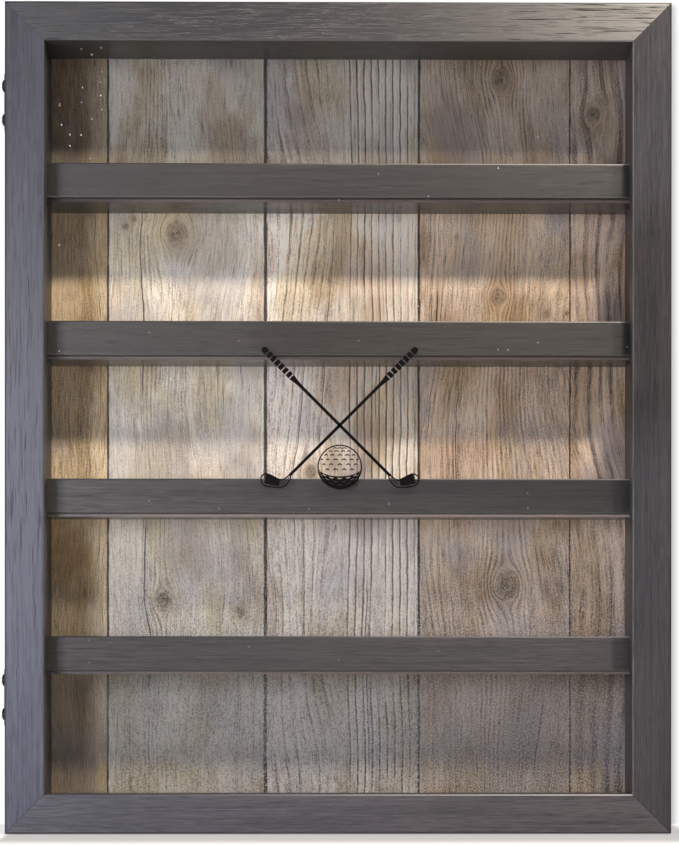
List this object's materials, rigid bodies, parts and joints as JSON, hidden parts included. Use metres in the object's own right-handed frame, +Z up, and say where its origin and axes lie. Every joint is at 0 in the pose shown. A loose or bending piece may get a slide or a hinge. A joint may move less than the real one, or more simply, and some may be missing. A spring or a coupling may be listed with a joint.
{
  "type": "golf ball display case",
  "caption": "Wall-hung or standing golf ball display case with a planked back, lipped shelves and a deep mitred door frame that holds a clear pane on side hinges.",
  "frame": {"origin": "centre of the underside of the case, which it stands on", "axes": "+Z up, -Y to the front that the door faces, +X to the right seen from the front"},
  "size_m": [0.307, 0.0748, 0.381],
  "materials": {
    "charcoal_foil": "satin charcoal wood-grain foil on fibreboard",
    "plank_print": "printed weathered planks on a thin board, satin",
    "clear_pane": "clear, polished, with a black figure printed on it",
    "black_metal": "black, satin",
    "zinc_steel": "zinc plated",
    "nickel_magnet": "nickel plated"
  },
  "bodies": {
    "case": {"back_panel": "plank_print", "case_bottom_board": "charcoal_foil", "case_corner_nails": "zinc_steel", "case_left_side": "charcoal_foil", "case_magnets": "nickel_magnet", "case_right_side": "charcoal_foil", "case_top_board": "charcoal_foil", "hanger_plate_left": "zinc_steel", "hanger_plate_right": "zinc_steel", "hanger_screws": "zinc_steel", "hinge_case_leaf_bottom": "black_metal", "hinge_case_leaf_top": "black_metal", "hinge_case_screws": "black_metal", "hinge_pin_bottom": "black_metal", "hinge_pin_top": "black_metal", "shelf_1": "charcoal_foil", "shelf_2": "charcoal_foil", "shelf_3": "charcoal_foil", "shelf_4": "charcoal_foil", "shelf_lip_1": "charcoal_foil", "shelf_lip_2": "charcoal_foil", "shelf_lip_3": "charcoal_foil", "shelf_lip_4": "charcoal_foil"},
    "door": {"door_top_rail": "charcoal_foil", "door_bottom_rail": "charcoal_foil", "door_left_stile": "charcoal_foil", "door_right_stile": "charcoal_foil", "door_pane": "clear_pane", "pane_points": "zinc_steel", "door_corner_nails": "zinc_steel", "door_magnets": "nickel_magnet", "hinge_door_leaf_top": "black_metal", "hinge_door_leaf_bottom": "black_metal", "hinge_door_screws": "black_metal"}
  },
  "joints": [
    {"name": "door_swing", "type": "hinge", "parent": "case", "child": "door", "pos_m": [-0.15275, -0.0284, 0.1905], "axis": [0, 0, -1], "range_deg": [0, 150]}
  ]
}
